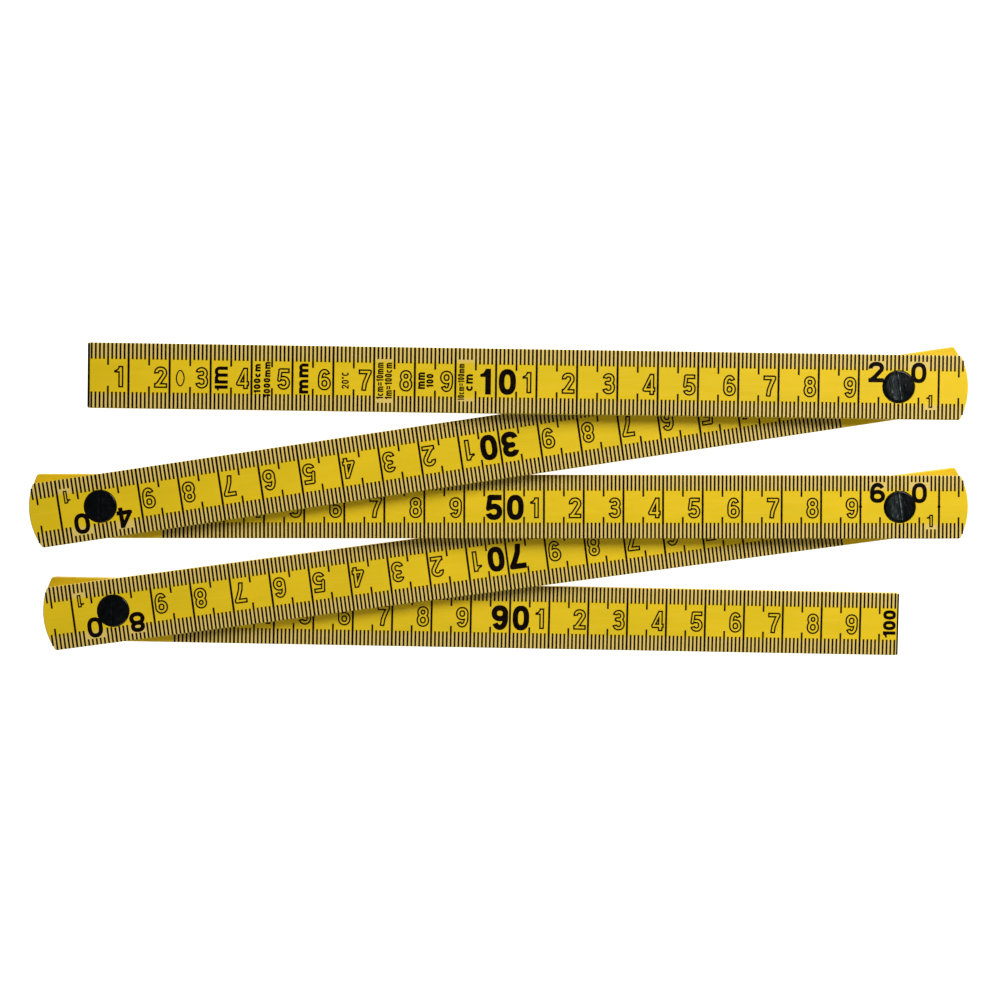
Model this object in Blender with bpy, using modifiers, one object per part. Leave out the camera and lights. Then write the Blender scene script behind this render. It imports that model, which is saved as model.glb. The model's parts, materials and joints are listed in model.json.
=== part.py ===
"""A one-metre folding rule: five plastic blades on four spring pivots, laid out as a nearly closed zigzag.

Metres, +Z up. Blade 5 is the lowest and blade 1 the highest, one layer each. The origin is the
middle of the footprint, at the height of the table, and blade 3 lies along the X axis.

Each blade is drawn in its own frame: its origin is on the pivot that joins it to the blade under
it (blade 5, the lowest, has its only pivot there), and it runs along its own +X axis. Heights in
that frame start at the blade's underside.
"""

import math

import bmesh
import bpy
from mathutils import Matrix, Vector

MM = 0.001

# The rule
BLADE_COUNT = 5
PIVOT_PITCH = 200 * MM
BLADE_WIDTH = 16 * MM
BLADE_THICKNESS = 2.8 * MM
LAYER_GAP = 0.3 * MM
LAYER = BLADE_THICKNESS + LAYER_GAP
OPENINGS_DEG = (9.27, 8.63, 7.59, 8.70)  # between two neighbouring blades, at 20, 40, 60 and 80 cm

# The outline of a blade
UPPER_TAIL_RADIUS = 17.5 * MM  # a round end is an arc centred on its pivot
LOWER_TAIL_RADIUS = 18.0 * MM  # under another blade, the end reaches a little further
TAIL_CORNER_RADIUS = 0.7 * MM
END_CORNER_RADIUS = 0.5 * MM
EDGE_RADIUS = 0.3 * MM

# The pivot button, which is keyed to the lower blade and turns in the upper one
HEAD_RADIUS = 4.0 * MM
HEAD_HEIGHT = 0.9 * MM
HEAD_CROWN = 0.14 * MM
HEAD_EDGE = 0.25 * MM
GROOVE_WIDTH = 0.3 * MM
GROOVE_DEPTH = 0.22 * MM
SHANK_RADIUS = 2.0 * MM
SHANK_FLAT = 1.6 * MM  # from the axis to each of the two flats
SPIGOT_RADIUS = 1.5 * MM

# The retaining cap in the lower blade's underside
CAP_RADIUS = 3.98 * MM
CAP_HEIGHT = 0.87 * MM
CAP_RECESS = 0.05 * MM  # the cap stays this far inside the blade
CAP_EDGE = 0.15 * MM
CAP_FLOOR = 0.35 * MM  # left under the socket for the spigot
CAP_DIMPLE_RADIUS = 0.8 * MM
CAP_DIMPLE_DEPTH = 0.12 * MM

# The disc spring under the head
SPRING_OUTER_RADIUS = 3.3 * MM
SPRING_INNER_RADIUS = 2.15 * MM
SPRING_THICKNESS = 0.2 * MM
SPRING_CONE = 0.38 * MM

# The detent ring on top of the lower blade, whose noses reach into the upper one
RING_RADIUS = 6.3 * MM
RING_THICKNESS = 0.4 * MM
LUG_REACH = 7.4 * MM
LUG_HALF_WIDTH = 1.8 * MM
LUG_TAPER = 0.25 * MM  # a lug's tip is narrower by this on each side
NOSE_COUNT = 4
NOSE_CIRCLE = 5.3 * MM
NOSE_FOOT_RADIUS = 0.75 * MM
NOSE_TIP_RADIUS = 0.35 * MM
NOSE_HEIGHT = 0.62 * MM

# The seats in the blades
RUNNING_CLEARANCE = 0.08 * MM
SEAT_CLEARANCE = 0.1 * MM
FLOAT_CLEARANCE = 0.05 * MM
HEAD_SEAT_DEPTH = 1.0 * MM
SPRING_SEAT_DEPTH = 0.6 * MM
CAP_SEAT_DEPTH = 1.0 * MM
RING_SEAT_DEPTH = 0.5 * MM
TRACK_DEPTH = 0.5 * MM  # the annular track that the noses run in
POCKET_DEPTH = 0.75 * MM  # where they click, every 90 degrees
POCKET_RADIUS = 0.9 * MM

# How finely curves are divided
TURNED_STEPS = 24
ARC_STEPS = 12
CORNER_STEPS = 3
EDGE_SEGMENTS = 2
NOSE_SEGMENTS = 12

CUT_OVERRUN = 1 * MM
WELD_DISTANCE = 0.001 * MM


def clear_scene():
    for obj in list(bpy.data.objects):
        bpy.data.objects.remove(obj, do_unlink=True)


def new_collection(name):
    collection = bpy.data.collections.new(name)
    bpy.context.scene.collection.children.link(collection)
    return collection


def new_material(name, colour, roughness, metallic=0.0):
    material = bpy.data.materials.new(name)
    material.use_nodes = True
    shader = material.node_tree.nodes["Principled BSDF"]
    shader.inputs["Base Color"].default_value = (*colour, 1)
    shader.inputs["Roughness"].default_value = roughness
    shader.inputs["Metallic"].default_value = metallic
    return material


def link_part(name, mesh, parent, material):
    obj = bpy.data.objects.new(name, mesh)
    obj.data.materials.append(material)
    obj.parent = parent
    PARTS.objects.link(obj)
    return obj


def link_cutter(name, mesh, parent):
    obj = bpy.data.objects.new(name, mesh)
    obj.parent = parent
    obj.hide_render = True
    obj.display_type = "WIRE"
    CUTTERS.objects.link(obj)
    return obj


def use_cutter(obj, cutter, operation="DIFFERENCE"):
    boolean = obj.modifiers.new(cutter.name, "BOOLEAN")
    boolean.object = cutter
    boolean.operation = operation


def smooth(mesh):
    mesh.shade_smooth()
    mesh.set_sharp_from_angle(angle=math.radians(30))


# Outlines, as points in the plane


def arc(centre, radius, start_deg, end_deg, steps):
    angles = [math.radians(start_deg + (end_deg - start_deg) * i / steps) for i in range(steps + 1)]
    return [(centre[0] + radius * math.cos(a), centre[1] + radius * math.sin(a)) for a in angles]


def round_end(radius):
    """The end past a pivot at the origin, from its upper corner to its lower one, pointing to -X."""
    half = BLADE_WIDTH / 2
    small = TAIL_CORNER_RADIUS
    # The corner's circle touches the straight edge and, from inside, the big arc.
    corner_x = -math.sqrt((radius - small) ** 2 - (half - small) ** 2)
    turn = math.degrees(math.atan2(half - small, -corner_x))
    upper = arc((corner_x, half - small), small, 90, 180 - turn, CORNER_STEPS)
    tail = arc((0, 0), radius, 180 - turn, 180 + turn, ARC_STEPS)
    lower = arc((corner_x, small - half), small, 180 + turn, 270, CORNER_STEPS)
    return upper + tail[1:-1] + lower


def square_end(x):
    """The cut-off end at x, pointing to +X."""
    half = BLADE_WIDTH / 2
    small = END_CORNER_RADIUS
    lower = arc((x - small, small - half), small, 270, 360, CORNER_STEPS)
    upper = arc((x - small, half - small), small, 0, 90, CORNER_STEPS)
    return lower + upper


def blade_outline(number):
    """The blade's outline, anticlockwise, with its first pivot at the origin."""
    near = round_end(LOWER_TAIL_RADIUS if number == BLADE_COUNT else UPPER_TAIL_RADIUS)
    if 1 < number < BLADE_COUNT:
        far = [(PIVOT_PITCH - x, -y) for x, y in round_end(LOWER_TAIL_RADIUS)]
    else:
        far = square_end(PIVOT_PITCH)
    return near + far


def ring_outline(clearance):
    """A disc with a tapered lug along the blade on each side, which keeps the detent ring from turning."""
    radius = RING_RADIUS + clearance
    root = LUG_HALF_WIDTH + clearance
    tip = root - LUG_TAPER
    reach = LUG_REACH + clearance
    turn = math.degrees(math.asin(root / radius))
    top = arc((0, 0), radius, turn, 180 - turn, ARC_STEPS)
    bottom = arc((0, 0), radius, 180 + turn, 360 - turn, ARC_STEPS)
    return top + [(-reach, tip), (-reach, -tip)] + bottom + [(reach, -tip), (reach, tip)]


def keyed_outline(radius, flat):
    """A circle with two flats along the blade."""
    turn = math.degrees(math.asin(flat / radius))
    right = arc((0, 0), radius, -turn, turn, ARC_STEPS)
    left = arc((0, 0), radius, 180 - turn, 180 + turn, ARC_STEPS)
    return right + left


# Meshes


def plate_mesh(name, outline, bottom, top):
    """A flat closed solid: the outline between two heights."""
    curve = bpy.data.curves.new(name, "CURVE")
    curve.dimensions = "2D"
    curve.fill_mode = "BOTH"
    curve.extrude = (top - bottom) / 2
    spline = curve.splines.new("POLY")
    spline.points.add(len(outline) - 1)
    spline.use_cyclic_u = True
    for point, (x, y) in zip(spline.points, outline):
        point.co = (x, y, 0, 1)
    drawn = bpy.data.objects.new(name, curve)
    bpy.context.scene.collection.objects.link(drawn)
    graph = bpy.context.evaluated_depsgraph_get()
    mesh = bpy.data.meshes.new_from_object(drawn.evaluated_get(graph))
    mesh.transform(Matrix.Translation((0, 0, (top + bottom) / 2)))
    bpy.data.objects.remove(drawn, do_unlink=True)
    form = bmesh.new()
    form.from_mesh(mesh)
    bmesh.ops.remove_doubles(form, verts=form.verts, dist=WELD_DISTANCE)
    bmesh.ops.dissolve_limit(form, angle_limit=math.radians(0.1), verts=form.verts, edges=form.edges)
    bmesh.ops.recalc_face_normals(form, faces=form.faces)
    form.to_mesh(mesh)
    form.free()
    return mesh


def profile_mesh(name, profile, ring=False):
    """The wire that a Screw turns. It runs down the outer side, and a ring's wire closes on itself."""
    edges = [(i, i + 1) for i in range(len(profile) - 1)]
    if ring:
        edges.append((len(profile) - 1, 0))
    mesh = bpy.data.meshes.new(name)
    mesh.from_pydata([(x, 0, z) for x, z in profile], edges, [])
    return mesh


def turn_profile(obj):
    screw = obj.modifiers.new("Turn", "SCREW")
    screw.steps = screw.render_steps = TURNED_STEPS
    screw.use_merge_vertices = True
    screw.merge_threshold = WELD_DISTANCE
    screw.use_smooth_shade = True


def cylinders_mesh(name, centres, foot_radius, tip_radius, bottom, top, segments):
    """One short cylinder or cone frustum on each centre."""
    form = bmesh.new()
    for x, y in centres:
        bmesh.ops.create_cone(
            form,
            cap_ends=True,
            segments=segments,
            radius1=foot_radius,
            radius2=tip_radius,
            depth=top - bottom,
            matrix=Matrix.Translation((x, y, (top + bottom) / 2)),
        )
    mesh = bpy.data.meshes.new(name)
    form.to_mesh(mesh)
    form.free()
    return mesh


def boxes_mesh(name, corners):
    """One box between each pair of opposite corners."""
    form = bmesh.new()
    for low, high in corners:
        low, high = Vector(low), Vector(high)
        place = Matrix.Translation((low + high) / 2) @ Matrix.Diagonal((*(high - low), 1))
        bmesh.ops.create_cube(form, size=1, matrix=place)
    mesh = bpy.data.meshes.new(name)
    form.to_mesh(mesh)
    form.free()
    return mesh


def nose_centres():
    angles = [math.tau * i / NOSE_COUNT for i in range(NOSE_COUNT)]
    return [(NOSE_CIRCLE * math.cos(a), NOSE_CIRCLE * math.sin(a)) for a in angles]


# The seats that the blades have for a joint's pieces


def cut_upper_seat(blade):
    """Where the blade turns on a button: steps for the head and the spring, a bore, and a track for noses."""
    top = BLADE_THICKNESS
    head_radius = HEAD_RADIUS + SEAT_CLEARANCE
    spring_radius = SPRING_OUTER_RADIUS + SEAT_CLEARANCE
    bore_radius = SHANK_RADIUS + RUNNING_CLEARANCE
    head_floor = top - HEAD_SEAT_DEPTH
    spring_floor = head_floor - SPRING_SEAT_DEPTH
    steps = [
        (0, top + CUT_OVERRUN),
        (head_radius, top + CUT_OVERRUN),
        (head_radius, head_floor),
        (spring_radius, head_floor),
        (spring_radius, spring_floor),
        (bore_radius, spring_floor),
        (bore_radius, -CUT_OVERRUN),
        (0, -CUT_OVERRUN),
    ]
    seat = link_cutter(f"{blade.name}_head_seat", profile_mesh("head_seat", steps), blade)
    turn_profile(seat)
    use_cutter(blade, seat)

    inner = NOSE_CIRCLE - NOSE_FOOT_RADIUS - SEAT_CLEARANCE
    outer = NOSE_CIRCLE + NOSE_FOOT_RADIUS + SEAT_CLEARANCE
    section = [(outer, TRACK_DEPTH), (outer, -CUT_OVERRUN), (inner, -CUT_OVERRUN), (inner, TRACK_DEPTH)]
    track = link_cutter(f"{blade.name}_nose_track", profile_mesh("nose_track", section, ring=True), blade)
    turn_profile(track)
    use_cutter(blade, track)

    pockets = cylinders_mesh(
        "nose_pockets",
        nose_centres(),
        POCKET_RADIUS,
        POCKET_RADIUS,
        -CUT_OVERRUN,
        POCKET_DEPTH,
        NOSE_SEGMENTS,
    )
    use_cutter(blade, link_cutter(f"{blade.name}_nose_pockets", pockets, blade))


def cut_lower_seat(blade, x):
    """Where the blade holds a button, at x: a keyed bore, the cap's counterbore and the ring's recess."""
    top = BLADE_THICKNESS
    bore = plate_mesh(
        "keyed_bore",
        keyed_outline(SHANK_RADIUS + RUNNING_CLEARANCE, SHANK_FLAT + RUNNING_CLEARANCE),
        -CUT_OVERRUN,
        top + CUT_OVERRUN,
    )
    recess = plate_mesh("ring_recess", ring_outline(SEAT_CLEARANCE), top - RING_SEAT_DEPTH, top + CUT_OVERRUN)
    cap_radius = CAP_RADIUS + SEAT_CLEARANCE
    counterbore = cylinders_mesh(
        "cap_counterbore", [(0, 0)], cap_radius, cap_radius, -CUT_OVERRUN, CAP_SEAT_DEPTH, TURNED_STEPS
    )
    for mesh in (bore, recess, counterbore):
        cutter = link_cutter(f"{blade.name}_{mesh.name}", mesh, blade)
        cutter.location.x = x
        use_cutter(blade, cutter)


# The parts


def make_blade(number, frame):
    has_second_pivot = 1 < number < BLADE_COUNT
    mesh = plate_mesh(f"blade_{number}", blade_outline(number), 0, BLADE_THICKNESS)
    smooth(mesh)
    blade = link_part(f"blade_{number}", mesh, frame, YELLOW_PLASTIC)
    edge = blade.modifiers.new("Edge", "BEVEL")
    edge.width = EDGE_RADIUS
    edge.segments = EDGE_SEGMENTS
    edge.limit_method = "ANGLE"
    edge.angle_limit = math.radians(45)
    if number < BLADE_COUNT:
        cut_upper_seat(blade)
    else:
        cut_lower_seat(blade, 0)
    if has_second_pivot:
        cut_lower_seat(blade, PIVOT_PITCH)
    return blade


def button_profile():
    """From the crown of the head to the foot of the spigot, with the lower blade's underside at height 0."""
    head_top = LAYER + BLADE_THICKNESS
    head_floor = head_top - HEAD_HEIGHT
    shank_foot = CAP_SEAT_DEPTH + FLOAT_CLEARANCE
    spigot_foot = CAP_RECESS + CAP_FLOOR + FLOAT_CLEARANCE
    flat_radius = HEAD_RADIUS - HEAD_EDGE
    crown = [(flat_radius * t, head_top + HEAD_CROWN * (1 - t * t)) for t in (0, 0.35, 0.7)]
    edge = [
        (flat_radius + HEAD_EDGE * math.sin(a), head_top - HEAD_EDGE * (1 - math.cos(a)))
        for a in (0, math.pi / 4, math.pi / 2)
    ]
    shank = [
        (HEAD_RADIUS, head_floor),
        (SHANK_RADIUS, head_floor),
        (SHANK_RADIUS, shank_foot),
        (SPIGOT_RADIUS, shank_foot),
        (SPIGOT_RADIUS, spigot_foot),
        (0, spigot_foot),
    ]
    return crown + edge + shank


def make_button(name, frame):
    button = link_part(name, profile_mesh(name, button_profile()), frame, BLACK_PLASTIC)
    turn_profile(button)
    # A thin groove runs across the head, square to the lower blade.
    head_top = LAYER + BLADE_THICKNESS + HEAD_CROWN
    groove = boxes_mesh(
        "head_groove",
        [
            (
                (-GROOVE_WIDTH / 2, -HEAD_RADIUS - CUT_OVERRUN, head_top - GROOVE_DEPTH),
                (GROOVE_WIDTH / 2, HEAD_RADIUS + CUT_OVERRUN, head_top + CUT_OVERRUN),
            )
        ],
    )
    use_cutter(button, link_cutter(f"{name}_groove", groove, button))
    # Two flats key the shank in the lower blade's bore.
    flats_foot = CAP_SEAT_DEPTH
    flats_top = BLADE_THICKNESS - RING_SEAT_DEPTH + FLOAT_CLEARANCE
    reach = SHANK_RADIUS + CUT_OVERRUN
    flats = boxes_mesh(
        "shank_flats",
        [
            ((-reach, SHANK_FLAT, flats_foot), (reach, reach, flats_top)),
            ((-reach, -reach, flats_foot), (reach, -SHANK_FLAT, flats_top)),
        ],
    )
    use_cutter(button, link_cutter(f"{name}_flats", flats, button))
    return button


def make_cap(name, frame):
    bottom = CAP_RECESS
    top = CAP_RECESS + CAP_HEIGHT
    socket_radius = SPIGOT_RADIUS + FLOAT_CLEARANCE
    socket_floor = bottom + CAP_FLOOR
    profile = [
        (0, socket_floor),
        (socket_radius, socket_floor),
        (socket_radius, top),
        (CAP_RADIUS, top),
        (CAP_RADIUS, bottom + CAP_EDGE),
        (CAP_RADIUS - CAP_EDGE, bottom),
        (CAP_DIMPLE_RADIUS, bottom),
        (CAP_DIMPLE_RADIUS - CAP_DIMPLE_DEPTH, bottom + CAP_DIMPLE_DEPTH),
        (0, bottom + CAP_DIMPLE_DEPTH),
    ]
    cap = link_part(name, profile_mesh(name, profile), frame, BLACK_PLASTIC)
    turn_profile(cap)
    return cap


def make_disc_spring(name, frame):
    """A cone washer: its outer rim stands on the step, its inner rim presses the head up."""
    floor = LAYER + BLADE_THICKNESS - HEAD_SEAT_DEPTH - SPRING_SEAT_DEPTH + FLOAT_CLEARANCE
    section = [
        (SPRING_INNER_RADIUS, floor + SPRING_CONE + SPRING_THICKNESS),
        (SPRING_OUTER_RADIUS, floor + SPRING_THICKNESS),
        (SPRING_OUTER_RADIUS, floor),
        (SPRING_INNER_RADIUS, floor + SPRING_CONE),
    ]
    spring = link_part(name, profile_mesh(name, section, ring=True), frame, SPRING_STEEL)
    turn_profile(spring)
    return spring


def make_detent_ring(name, frame):
    """A flat spring-steel ring with four raised noses."""
    bottom = BLADE_THICKNESS - RING_SEAT_DEPTH + FLOAT_CLEARANCE
    top = bottom + RING_THICKNESS
    ring = link_part(name, plate_mesh(name, ring_outline(0), bottom, top), frame, SPRING_STEEL)
    hole_radius = SHANK_RADIUS + SEAT_CLEARANCE
    hole = cylinders_mesh(
        "ring_hole", [(0, 0)], hole_radius, hole_radius, bottom - CUT_OVERRUN, top + CUT_OVERRUN, TURNED_STEPS
    )
    use_cutter(ring, link_cutter(f"{name}_hole", hole, ring))
    noses = cylinders_mesh(
        "ring_noses",
        nose_centres(),
        NOSE_FOOT_RADIUS,
        NOSE_TIP_RADIUS,
        bottom + RING_THICKNESS / 2,
        top + NOSE_HEIGHT,
        NOSE_SEGMENTS,
    )
    use_cutter(ring, link_cutter(f"{name}_noses", noses, ring), "UNION")
    return ring


def make_joint_pieces(reading, lower_frame, x):
    """The pieces that stay with the lower blade of the joint at this reading."""
    for make, piece in (
        (make_button, "pivot_button"),
        (make_disc_spring, "disc_spring"),
        (make_detent_ring, "detent_ring"),
        (make_cap, "retaining_cap"),
    ):
        made = make(f"{piece}_{reading}", lower_frame)
        made.location.x = x


# The assembly


def new_frame(name, parent, x, z, heading_deg):
    """An empty on a pivot's axis, which carries a blade and all that hangs on it."""
    frame = bpy.data.objects.new(name, None)
    frame.parent = parent
    frame.location = (x, 0, z)
    frame.rotation_euler.z = math.radians(heading_deg)
    PARTS.objects.link(frame)
    return frame


def blade_headings():
    """Each blade's heading against the frame of the blade under it, from blade 5 up to blade 1."""
    at_20, at_40, at_60, at_80 = OPENINGS_DEG
    return at_60 - at_80, at_80, 180 - at_60, at_40 - 180, 180 - at_20


def make_frames():
    """The chain of frames by blade number. The lowest blade's heading brings blade 3 onto the X axis."""
    frames = {}
    parent = None
    for layer, heading in enumerate(blade_headings()):
        number = BLADE_COUNT - layer
        # Blade 4 turns on blade 5's first pivot, and each later blade on the far pivot of the one under it.
        x = PIVOT_PITCH if layer > 1 else 0
        z = LAYER if layer else 0
        frames[number] = new_frame(f"blade_{number}_frame", parent, x, z, heading)
        parent = frames[number]
    return frames


def centre_on_footprint(frames):
    """Moves the lowest frame so that the middle of the whole footprint is at the origin."""
    bpy.context.view_layer.update()
    points = [
        frames[number].matrix_world @ Vector((x, y, 0))
        for number in frames
        for x, y in blade_outline(number)
    ]
    for axis in (0, 1):
        values = [point[axis] for point in points]
        frames[BLADE_COUNT].location[axis] -= (min(values) + max(values)) / 2


def make_rule():
    frames = make_frames()
    centre_on_footprint(frames)
    for number in range(1, BLADE_COUNT + 1):
        make_blade(number, frames[number])
    for number in range(2, BLADE_COUNT + 1):
        x = PIVOT_PITCH if number < BLADE_COUNT else 0
        make_joint_pieces((number - 1) * 20, frames[number], x)


clear_scene()
PARTS = new_collection("folding_rule")
CUTTERS = new_collection("cutters")
YELLOW_PLASTIC = new_material("yellow_plastic", (0.62, 0.40, 0.012), 0.38)
BLACK_PLASTIC = new_material("black_plastic", (0.012, 0.013, 0.017), 0.42)
SPRING_STEEL = new_material("spring_steel", (0.55, 0.55, 0.56), 0.3, metallic=1.0)
make_rule()
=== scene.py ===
"""The looks of a one-metre folding rule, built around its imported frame.

Metres throughout. Every blade is drawn in its own frame: X runs from its low reading to its high
one, Y is the reader's up, Z is the world's up, and heights start at the blade's underside.
"""

import functools
import json
import math

import bmesh
import bpy
import numpy as np
from mathutils import Matrix, Vector


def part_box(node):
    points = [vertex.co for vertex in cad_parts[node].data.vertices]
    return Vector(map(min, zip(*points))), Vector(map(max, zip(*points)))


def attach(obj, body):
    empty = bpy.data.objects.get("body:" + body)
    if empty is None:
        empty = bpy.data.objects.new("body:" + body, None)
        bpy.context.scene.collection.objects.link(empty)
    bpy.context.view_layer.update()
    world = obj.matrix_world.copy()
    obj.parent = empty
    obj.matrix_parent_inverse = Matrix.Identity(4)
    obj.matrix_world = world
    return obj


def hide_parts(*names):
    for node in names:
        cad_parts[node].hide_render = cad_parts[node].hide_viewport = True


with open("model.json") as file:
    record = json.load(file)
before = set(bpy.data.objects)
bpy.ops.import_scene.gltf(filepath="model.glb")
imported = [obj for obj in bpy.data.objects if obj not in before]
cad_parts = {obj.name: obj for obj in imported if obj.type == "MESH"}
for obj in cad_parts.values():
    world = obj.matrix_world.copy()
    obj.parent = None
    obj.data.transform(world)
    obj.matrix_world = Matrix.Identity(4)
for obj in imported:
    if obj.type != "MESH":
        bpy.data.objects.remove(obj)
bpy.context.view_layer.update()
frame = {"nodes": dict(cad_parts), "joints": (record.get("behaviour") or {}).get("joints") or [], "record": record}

MM = 0.001

# The rule, as its frame says
JOINTS = {joint["name"]: Vector(joint["pos_m"]) for joint in frame["joints"]}
MOUNTS = {mount["name"]: Vector(mount["pos_m"]) for mount in frame["record"]["mounts"]}
BLADE_COUNT = 5
READING_POINTS = [
    MOUNTS["zero_end"],
    *(JOINTS[f"joint_{reading}"] for reading in (20, 40, 60, 80)),
    MOUNTS["hundred_end"],
]
BOTTOMS = {n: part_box(f"blade_{n}")[0].z for n in range(1, BLADE_COUNT + 1)}
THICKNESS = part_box("blade_5")[1].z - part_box("blade_5")[0].z
LAYER = BOTTOMS[4] - BOTTOMS[5]

# The blades
PITCH_MM = 200
PITCH = PITCH_MM * MM
HALF_WIDTH = 8 * MM
UPPER_TAIL_RADIUS = 17.5 * MM
LOWER_TAIL_RADIUS = 18.0 * MM
TAIL_CORNER = 0.7 * MM
END_CORNER = 0.3 * MM
EDGE_RADIUS = 0.3 * MM
PARTING_HEIGHT = 0.03 * MM
PARTING_HALF_WIDTH = 0.09 * MM

# The joints
HEAD_RADIUS = 4.0 * MM
HEAD_HEIGHT = 0.9 * MM
HEAD_CROWN = 0.14 * MM
HEAD_EDGE = 0.25 * MM
GROOVE_HALF_WIDTH = 0.13 * MM
GROOVE_DEPTH = 0.24 * MM
GROOVE_FLARE = 1.7
NUB_X = -1.55 * MM
NUB_RADIUS = 0.3 * MM
NUB_HEIGHT = 0.05 * MM
SHANK_RADIUS = 2.0 * MM
SHANK_FLAT = 1.6 * MM
SPIGOT_RADIUS = 1.5 * MM
CAP_RADIUS = 3.98 * MM
CAP_HEIGHT = 0.87 * MM
CAP_RECESS = 0.05 * MM
CAP_EDGE = 0.15 * MM
CAP_FLOOR = 0.35 * MM
CAP_DIMPLE_RADIUS = 0.8 * MM
CAP_DIMPLE_DEPTH = 0.12 * MM
SPRING_RADIUS = 3.3 * MM
RING_RADIUS = 6.3 * MM
LUG_REACH = 7.4 * MM
LUG_HALF_WIDTH = 1.8 * MM
LUG_TAPER = 0.25 * MM
NOSE_CIRCLE = 5.3 * MM
NOSE_RADIUS = 0.75 * MM
HEAD_SEAT_DEPTH = 1.0 * MM
SPRING_SEAT_DEPTH = 0.6 * MM
CAP_SEAT_DEPTH = 1.0 * MM
RING_SEAT_DEPTH = 0.5 * MM
TRACK_DEPTH = 0.5 * MM
POCKET_DEPTH = 0.75 * MM
POCKET_RADIUS = 0.9 * MM
RIM_CHAMFER = 0.08 * MM
CLEARANCE = 0.1 * MM
RUNNING_CLEARANCE = 0.08 * MM
FLOAT = 0.05 * MM
OVERRUN = 1 * MM

# The lines. Names in _MM are in plain millimetres.
INK_RISE = 0.02 * MM
INK_ROOT = 0.012 * MM
MM_TICK = 4.0 * MM
FIVE_TICK = 5.45 * MM
TICK_WIDTH = 0.46 * MM
CM_WIDTH = 0.52 * MM
ZERO_LINE_WIDTH = 0.60 * MM
HUNDRED_LINE_WIDTH = 0.50 * MM
DOT_RADIUS = 0.4 * MM
DOT_Y = 0.1 * MM
PIVOT_LINE_START = HEAD_RADIUS + 2.5 * CLEARANCE
END_LINE_REACH = HALF_WIDTH - END_CORNER * 0.7
# Where the print starts on a face that doesn't start at 0, and how far it runs past a pivot
PRINT_START_MM = 15
PRINT_PAST_PIVOT_MM = 16
# The turns of an ink line over a long edge and over a square end
EDGE_WRAP_DEG = (0, 22, 44, 62)
END_WRAP_DEG = (70, 45, 20, 0)

# Ticks stop short of blade 1's small words and of a pivot's figures. Spans are measured from the pivot.
CONVERSION_TICKS_MM = range(71, 75)
CONVERSION_REACH = {1: 3.05 * MM, -1: 2.25 * MM}
TENTH_TICKS_MM = range(91, 95)
TENTH_REACH = 2.9 * MM
PIVOT_FIGURE_SPANS_MM = ((-7.9, -3.4), (2.9, 7.2))
PIVOT_FIGURE_REACH = 1.7 * MM
SMALL_ONE_SPAN_MM = (6.5, 9.5)
SMALL_ONE_REACH = 2.4 * MM

# The figures. A place is that of a low left corner, from the line or the pivot that it belongs to.
OUTLINED = {"height": 5.3 * MM, "stroke": 1.24 * MM, "ink": 0.38 * MM, "middle": -0.28 * MM}
OUTLINED_WIDTH = 3.25 * MM
OUTLINED_ONE_WIDTH = 2.25 * MM
OUTLINED_GAP = 0.55 * MM
OUTLINED_ONE_GAP = 1.25 * MM
BOLD_HEIGHT = 6.35 * MM
BOLD_WIDTH = 4.25 * MM
BOLD_ONE_WIDTH = 2.65 * MM
BOLD_STROKE = 1.4 * MM
BOLD_MIDDLE = -0.2 * MM
BOLD_GAP = 0.45 * MM
BOLD_ONE_GAP = 1.25 * MM
BOLD_ZERO_GAP = 0.68 * MM
PIVOT_HEIGHT = 5.1 * MM
PIVOT_WIDTH = 3.85 * MM
PIVOT_STROKE = 1.05 * MM
PIVOT_TENS_AT = (-7.6 * MM, 1.05 * MM)
PIVOT_ZERO_AT = (3.05 * MM, 1.0 * MM)
SMALL_ONE = ("1", 1.6 * MM, 3.2 * MM, 0.95 * MM, 0.34 * MM)
SMALL_ONE_AT = (6.9 * MM, -5.1 * MM)

# Where the yellow material finds a blade: its places start at its number times the step. The two gaps set
# blades 1 and 5 apart, and the last pair sets a blade's front apart from its back.
PLACE_STEP_MM = 300
PLACE_STEP = PLACE_STEP_MM * MM
PLACE_LEAD_MM = 50
AFTER_BLADE_1_MM = (530, 540)
BEFORE_BLADE_5_MM = (1470, 1480)
MIDDLE_MM = (1.39, 1.41)
# Where the paler plastic under the print fades in and out
FADE_IN_MM = (PRINT_START_MM - 0.7, PRINT_START_MM - 0.1)
FADE_OUT_MM = (PITCH_MM + PRINT_PAST_PIVOT_MM - 0.1, PITCH_MM + PRINT_PAST_PIVOT_MM + 0.5)

# How finely curves are divided
FINE_STEPS = 96
HIDDEN_STEPS = 48
TAIL_STEPS = 48
CORNER_STEPS = 8
EDGE_STEPS = 5
CIRCLE_STEPS = 24
GLYPH_GRID = 0.035 * MM
GLYPH_SLACK = 0.004 * MM
SHARP_DEG = 32
# How far round its tip a stroke's flat end is cut, in half widths of the stroke
FLAT_END_REACH = 1.6


# Meshes


class Form:
    """Points and faces that are gathered into one mesh."""

    def __init__(self):
        self.points = []
        self.faces = []

    def add(self, points, faces):
        start = len(self.points)
        self.points.extend(tuple(p) for p in points)
        self.faces.extend(tuple(start + i for i in face) for face in faces)

    def mesh(self, name):
        mesh = bpy.data.meshes.new(name)
        mesh.from_pydata(self.points, [], self.faces)
        mesh.update()
        return mesh


def arc(centre, radius, start_deg, end_deg, steps):
    angles = np.radians(np.linspace(start_deg, end_deg, steps + 1))
    return [(centre[0] + radius * math.cos(a), centre[1] + radius * math.sin(a)) for a in angles]


def circle(centre, radius):
    return arc(centre, radius, 0, 360 - 360 / CIRCLE_STEPS, CIRCLE_STEPS - 1)


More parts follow.
